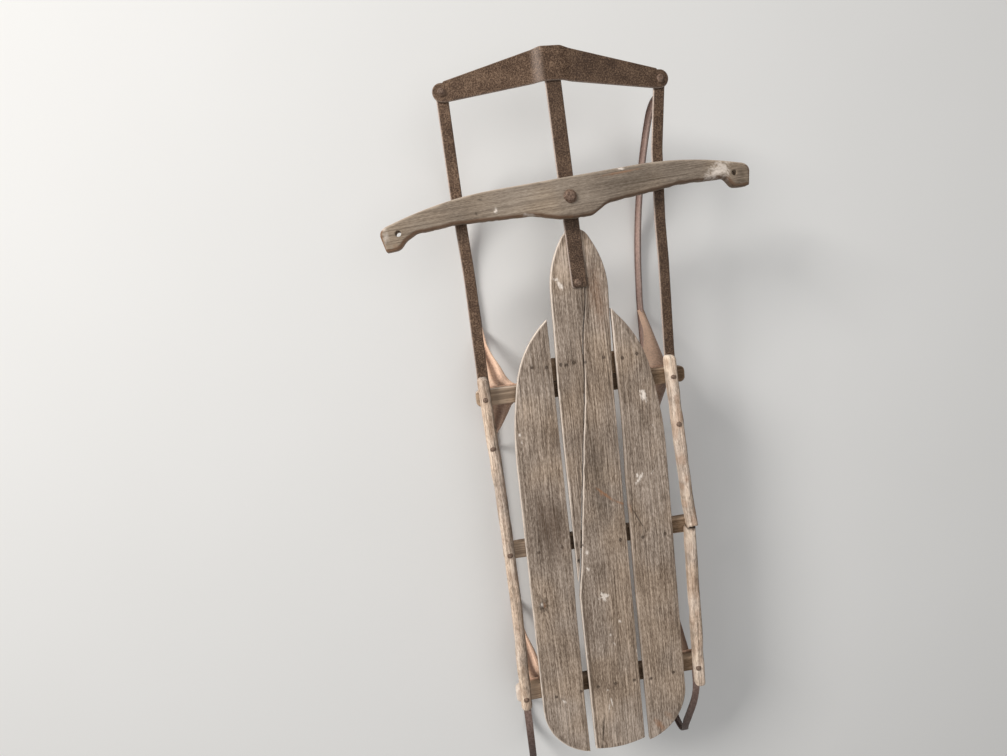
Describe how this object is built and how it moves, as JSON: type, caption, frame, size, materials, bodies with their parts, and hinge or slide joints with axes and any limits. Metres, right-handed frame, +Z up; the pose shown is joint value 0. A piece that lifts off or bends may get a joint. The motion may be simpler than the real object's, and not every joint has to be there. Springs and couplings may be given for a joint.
{
  "type": "steering snow sled",
  "caption": "Old child's snow sled with a plank deck, steel T-section runners looped at the rear, pressed knees, side rails and a turning wooden steering bar; one rail broken.",
  "frame": {"origin": "on the floor under the middle of the sled's bounding box", "axes": "+X towards the bumper at the front, +Y to the sled's left, +Z up"},
  "size_m": [1.2785, 0.5975, 0.1986],
  "materials": {
    "deck_wood": "bare weathered boards, grey-brown, rough",
    "bench_wood": "bare weathered wood, rough",
    "rail_wood": "bare weathered wood, paler, rough",
    "bar_wood": "bare weathered wood, rough",
    "strap_steel": "dark pitted rust",
    "runner_steel": "brown rust",
    "knee_steel": "brown rust over worn paint",
    "bolt_steel": "rust"
  },
  "bodies": {
    "sled": {"centre_board": "deck_wood", "side_board_left": "deck_wood", "side_board_right": "deck_wood", "bench_front": "bench_wood", "bench_middle": "bench_wood", "bench_rear": "bench_wood", "front_cleat": "bench_wood", "rail_left": "rail_wood", "rail_right_front": "rail_wood", "rail_right_rear": "rail_wood", "bumper": "strap_steel", "centre_strap": "strap_steel", "side_strap_left": "strap_steel", "side_strap_right": "strap_steel", "runner_left": "runner_steel", "runner_right": "runner_steel", "knee_front_left": "knee_steel", "knee_front_right": "knee_steel", "knee_rear_left": "knee_steel", "knee_rear_right": "knee_steel", "bumper_rivet_left": "bolt_steel", "bumper_rivet_right": "bolt_steel", "nose_bolt": "bolt_steel", "steering_bolt": "bolt_steel", "rail_bolts_left": "bolt_steel", "rail_bolts_right": "bolt_steel"},
    "steering": {"steering_bar": "bar_wood"}
  },
  "joints": [
    {"name": "steering_pivot", "type": "hinge", "parent": "sled", "child": "steering", "pos_m": [0.4085, 0, 0.1813], "axis": [0, 0, 1], "range_deg": [-17, 7]}
  ]
}
